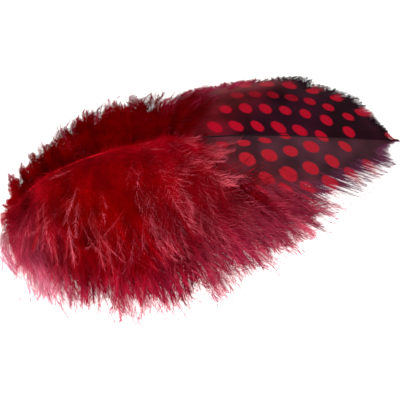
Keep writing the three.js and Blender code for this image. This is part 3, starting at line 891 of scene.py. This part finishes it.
def dyed_down(name, runs, zones, pale_hex, painted_shade_hex):
    """Dyed down: very thin keratin that lets light through, so it glows where it is thin
    and goes deep red where many layers lie together, deepened there by painted shade.
    Loose barbs on top are paler."""
    material, tree, output = new_material(name)
    across, along = uv_shares(tree)
    place, pale, out = (
        add_node(tree, "ShaderNodeAttribute", {"attribute_name": label}).outputs["Fac"]
        for label in ("place", "pale", "out"))
    colour = add_node(tree, "ShaderNodeValToRGB", stops=runs[0], Fac=out).outputs["Color"]
    for stops, (start, end) in zip(runs[1:], zones):
        zone = add_node(tree, "ShaderNodeMapRange", {"interpolation_type": "SMOOTHSTEP"},
                        Value=place, From_Min=start, From_Max=end)
        run = add_node(tree, "ShaderNodeValToRGB", stops=stops, Fac=out)
        colour = add_node(tree, "ShaderNodeMix", {"data_type": "RGBA"},
                          _0=zone.outputs[0], _6=colour, _7=run.outputs["Color"]).outputs[2]

    # Pale barbs turn to pale_hex, a paler dye and on rare barbs also a painted highlight; deep barbs turn
    # to a colour of painted shade.
    lift = add_node(tree, "ShaderNodeMapRange",
                    Value=pale, From_Min=0.36, From_Max=1.1, To_Min=0.0, To_Max=0.9)
    lifted = add_node(tree, "ShaderNodeMix", {"data_type": "RGBA"},
                      _0=lift.outputs[0], _6=colour, _7=linear(pale_hex))
    painted_shade_share = add_node(tree, "ShaderNodeMapRange",
                    Value=pale, From_Min=-0.1, From_Max=-0.5, To_Min=0.0, To_Max=0.8)
    painted_shade_colour = add_node(tree, "ShaderNodeMix", {"data_type": "RGBA"},
                    _0=painted_shade_share.outputs[0], _6=lifted.outputs[2], _7=linear(painted_shade_hex))

    # Three factors are multiplied: uneven along the barbs, by paleness, which below 0 darkens by painted
    # shade, and by clumps of the pile, which are painted shade and light.
    on_barb = add_node(tree, "ShaderNodeCombineXYZ", X=across, Y=along)
    stretched = add_node(tree, "ShaderNodeVectorMath", {"operation": "MULTIPLY"},
                         _0=on_barb.outputs[0], _1=(16.0, 4.0, 1.0))
    patches = add_node(tree, "ShaderNodeTexNoise", Vector=stretched.outputs[0], Scale=1.0, Detail=3.0)
    uneven = add_node(tree, "ShaderNodeMapRange",
                      Value=patches.outputs["Fac"],
                      From_Min=0.25, From_Max=0.75, To_Min=0.75, To_Max=1.25)
    paleness_and_shade_factor = add_node(tree, "ShaderNodeMapRange",
                     Value=pale, From_Min=-0.5, From_Max=0.5, To_Min=0.55, To_Max=1.35)
    position = add_node(tree, "ShaderNodeTexCoord").outputs["Object"]
    painted_clump_noise = add_node(tree, "ShaderNodeTexNoise", Vector=position, Scale=1.0 / PAINTED_CLUMP_SIZE, Detail=2.0)
    painted_hollow_shade = add_node(tree, "ShaderNodeMapRange",
                      Value=painted_clump_noise.outputs["Fac"], From_Min=0.35, From_Max=0.65, To_Min=0.72, To_Max=1.25)
    light = add_node(tree, "ShaderNodeMath", {"operation": "MULTIPLY"},
                     _0=uneven.outputs[0], _1=paleness_and_shade_factor.outputs[0])
    shade = add_node(tree, "ShaderNodeMath", {"operation": "MULTIPLY"},
                     _0=light.outputs[0], _1=painted_hollow_shade.outputs[0])
    toned = add_node(tree, "ShaderNodeHueSaturation", Value=shade.outputs[0], Color=painted_shade_colour.outputs[2])
    solid = add_node(tree, "ShaderNodeBsdfPrincipled", Base_Color=toned.outputs[0],
                     Roughness=0.6, IOR=DOWN_IOR, Specular_IOR_Level=0.005)
    glow = add_node(tree, "ShaderNodeBsdfTranslucent", Color=toned.outputs[0])
    mixed = add_node(tree, "ShaderNodeMixShader",
                     Fac=LET_THROUGH, _1=solid.outputs[0], _2=glow.outputs[0])
    tree.links.new(mixed.outputs[0], output.inputs["Surface"])
    return material


wide_down = dyed_down("dyed_down_wide_side", WIDE_DOWN_RUNS, WIDE_DOWN_ZONES,
                      WIDE_PALE_HEX, WIDE_PAINTED_SHADE_HEX)
narrow_down_with_painted_shade = dyed_down("dyed_down_narrow_side_with_painted_shade", NARROW_DOWN_RUNS_WITH_PAINTED_SHADE, NARROW_DOWN_ZONES,
                        NARROW_PALE_HEX, NARROW_PAINTED_SHADE_HEX)
for number, name in enumerate(DOWN_ROWS):
    # The lock round the quill end takes the cooler colours of the narrow side, with their painted shade.
    cooler = DOWN_ROWS[name].side == NARROW or name == "quill_lock"
    rng = np.random.default_rng(DOWN_SEED + number)
    piece(name, narrow_down_with_painted_shade if cooler else wide_down, down_row(name, rng))

# ---------------------------------------------------------------------------------------
# Studio. A pale matt floor with a painted glow of its own, which keeps shadows faint, a
# large soft light from the front left, a weaker fill, and a long lens that looks down on
# the feather from the wide side.
# ---------------------------------------------------------------------------------------
AIM = np.array([-2.7, -4.7, 6.0]) * MM
AZIMUTH = math.radians(-12.0)
ELEVATION = math.radians(60.0)
LENS = 100.0
SENSOR = 36.0
FRAME_WIDTH = 80.8 * MM            # width of the view at the aim point
FLOOR_HEX = "#F6F5F3"
FLOOR_GRAIN_HEX = "#F4F3F1"
FLOOR_GRAIN_SIZE = 2.5 * MM
FLOOR_GLOW = 0.45                  # light of its own, which keeps the shadow faint
FLOOR_SIZE = 3.0


def matt_paint_with_painted_glow():
    """Pale matt paint with a grain that is only just lighter and darker, and a painted glow of its own
    that keeps shadows on it faint.
    """
    material, tree, output = new_material("pale_floor_with_painted_glow")
    position = add_node(tree, "ShaderNodeTexCoord").outputs["Object"]
    grain = add_node(tree, "ShaderNodeTexNoise", Vector=position, Scale=1.0 / FLOOR_GRAIN_SIZE)
    stops = [(0.3, FLOOR_GRAIN_HEX), (0.7, FLOOR_HEX)]
    tone = add_node(tree, "ShaderNodeValToRGB", stops=stops, Fac=grain.outputs["Fac"]).outputs["Color"]
    paint = add_node(tree, "ShaderNodeBsdfPrincipled", Base_Color=tone, Roughness=0.9,
                     Emission_Color=tone, Emission_Strength=FLOOR_GLOW)
    tree.links.new(paint.outputs[0], output.inputs["Surface"])
    return material


floor_mesh = bpy.data.meshes.new("floor")
corners = np.array([(-1, -1, 0), (1, -1, 0), (1, 1, 0), (-1, 1, 0)]) * FLOOR_SIZE / 2
floor_mesh.from_pydata(corners, [], [(0, 1, 2, 3)])
floor_mesh.materials.append(matt_paint_with_painted_glow())
floor = bpy.data.objects.new("floor", floor_mesh)
bpy.context.scene.collection.objects.link(floor)

world = bpy.data.worlds.new("studio")
bpy.context.scene.world = world
world.use_nodes = True
background = world.node_tree.nodes["Background"]
background.inputs["Color"].default_value = (1.0, 1.0, 1.0, 1.0)
background.inputs["Strength"].default_value = 1.0


def face(thing, away, distance):
    """Puts a light or camera at a distance from the aim point and turns it to face it."""
    thing.location = AIM + away * distance
    thing.rotation_euler = Vector(away).to_track_quat("Z", "Y").to_euler()
    bpy.context.scene.collection.objects.link(thing)


def soft_light(name, direction, distance, size, power):
    """A square area light that faces the feather from a direction."""
    lamp = bpy.data.lights.new(name, "AREA")
    lamp.shape = "SQUARE"
    lamp.size = size
    lamp.energy = power
    face(bpy.data.objects.new(name, lamp), unit(np.array(direction)), distance)


soft_light("key_light", direction=(-0.5, -0.55, 0.85), distance=0.6, size=0.35, power=5.4)
soft_light("fill_light", direction=(0.7, 0.3, 0.7), distance=0.7, size=0.5, power=1.35)

camera_data = bpy.data.cameras.new("camera")
camera_data.lens = LENS
camera_data.sensor_width = SENSOR
camera_data.clip_start = 0.01
camera_data.clip_end = 10.0
camera = bpy.data.objects.new("camera", camera_data)
level = math.cos(ELEVATION)
back = np.array([math.sin(AZIMUTH) * level, -math.cos(AZIMUTH) * level, math.sin(ELEVATION)])
face(camera, back, FRAME_WIDTH * LENS / SENSOR)
bpy.context.scene.camera = camera
bpy.context.scene.view_settings.view_transform = "Standard"
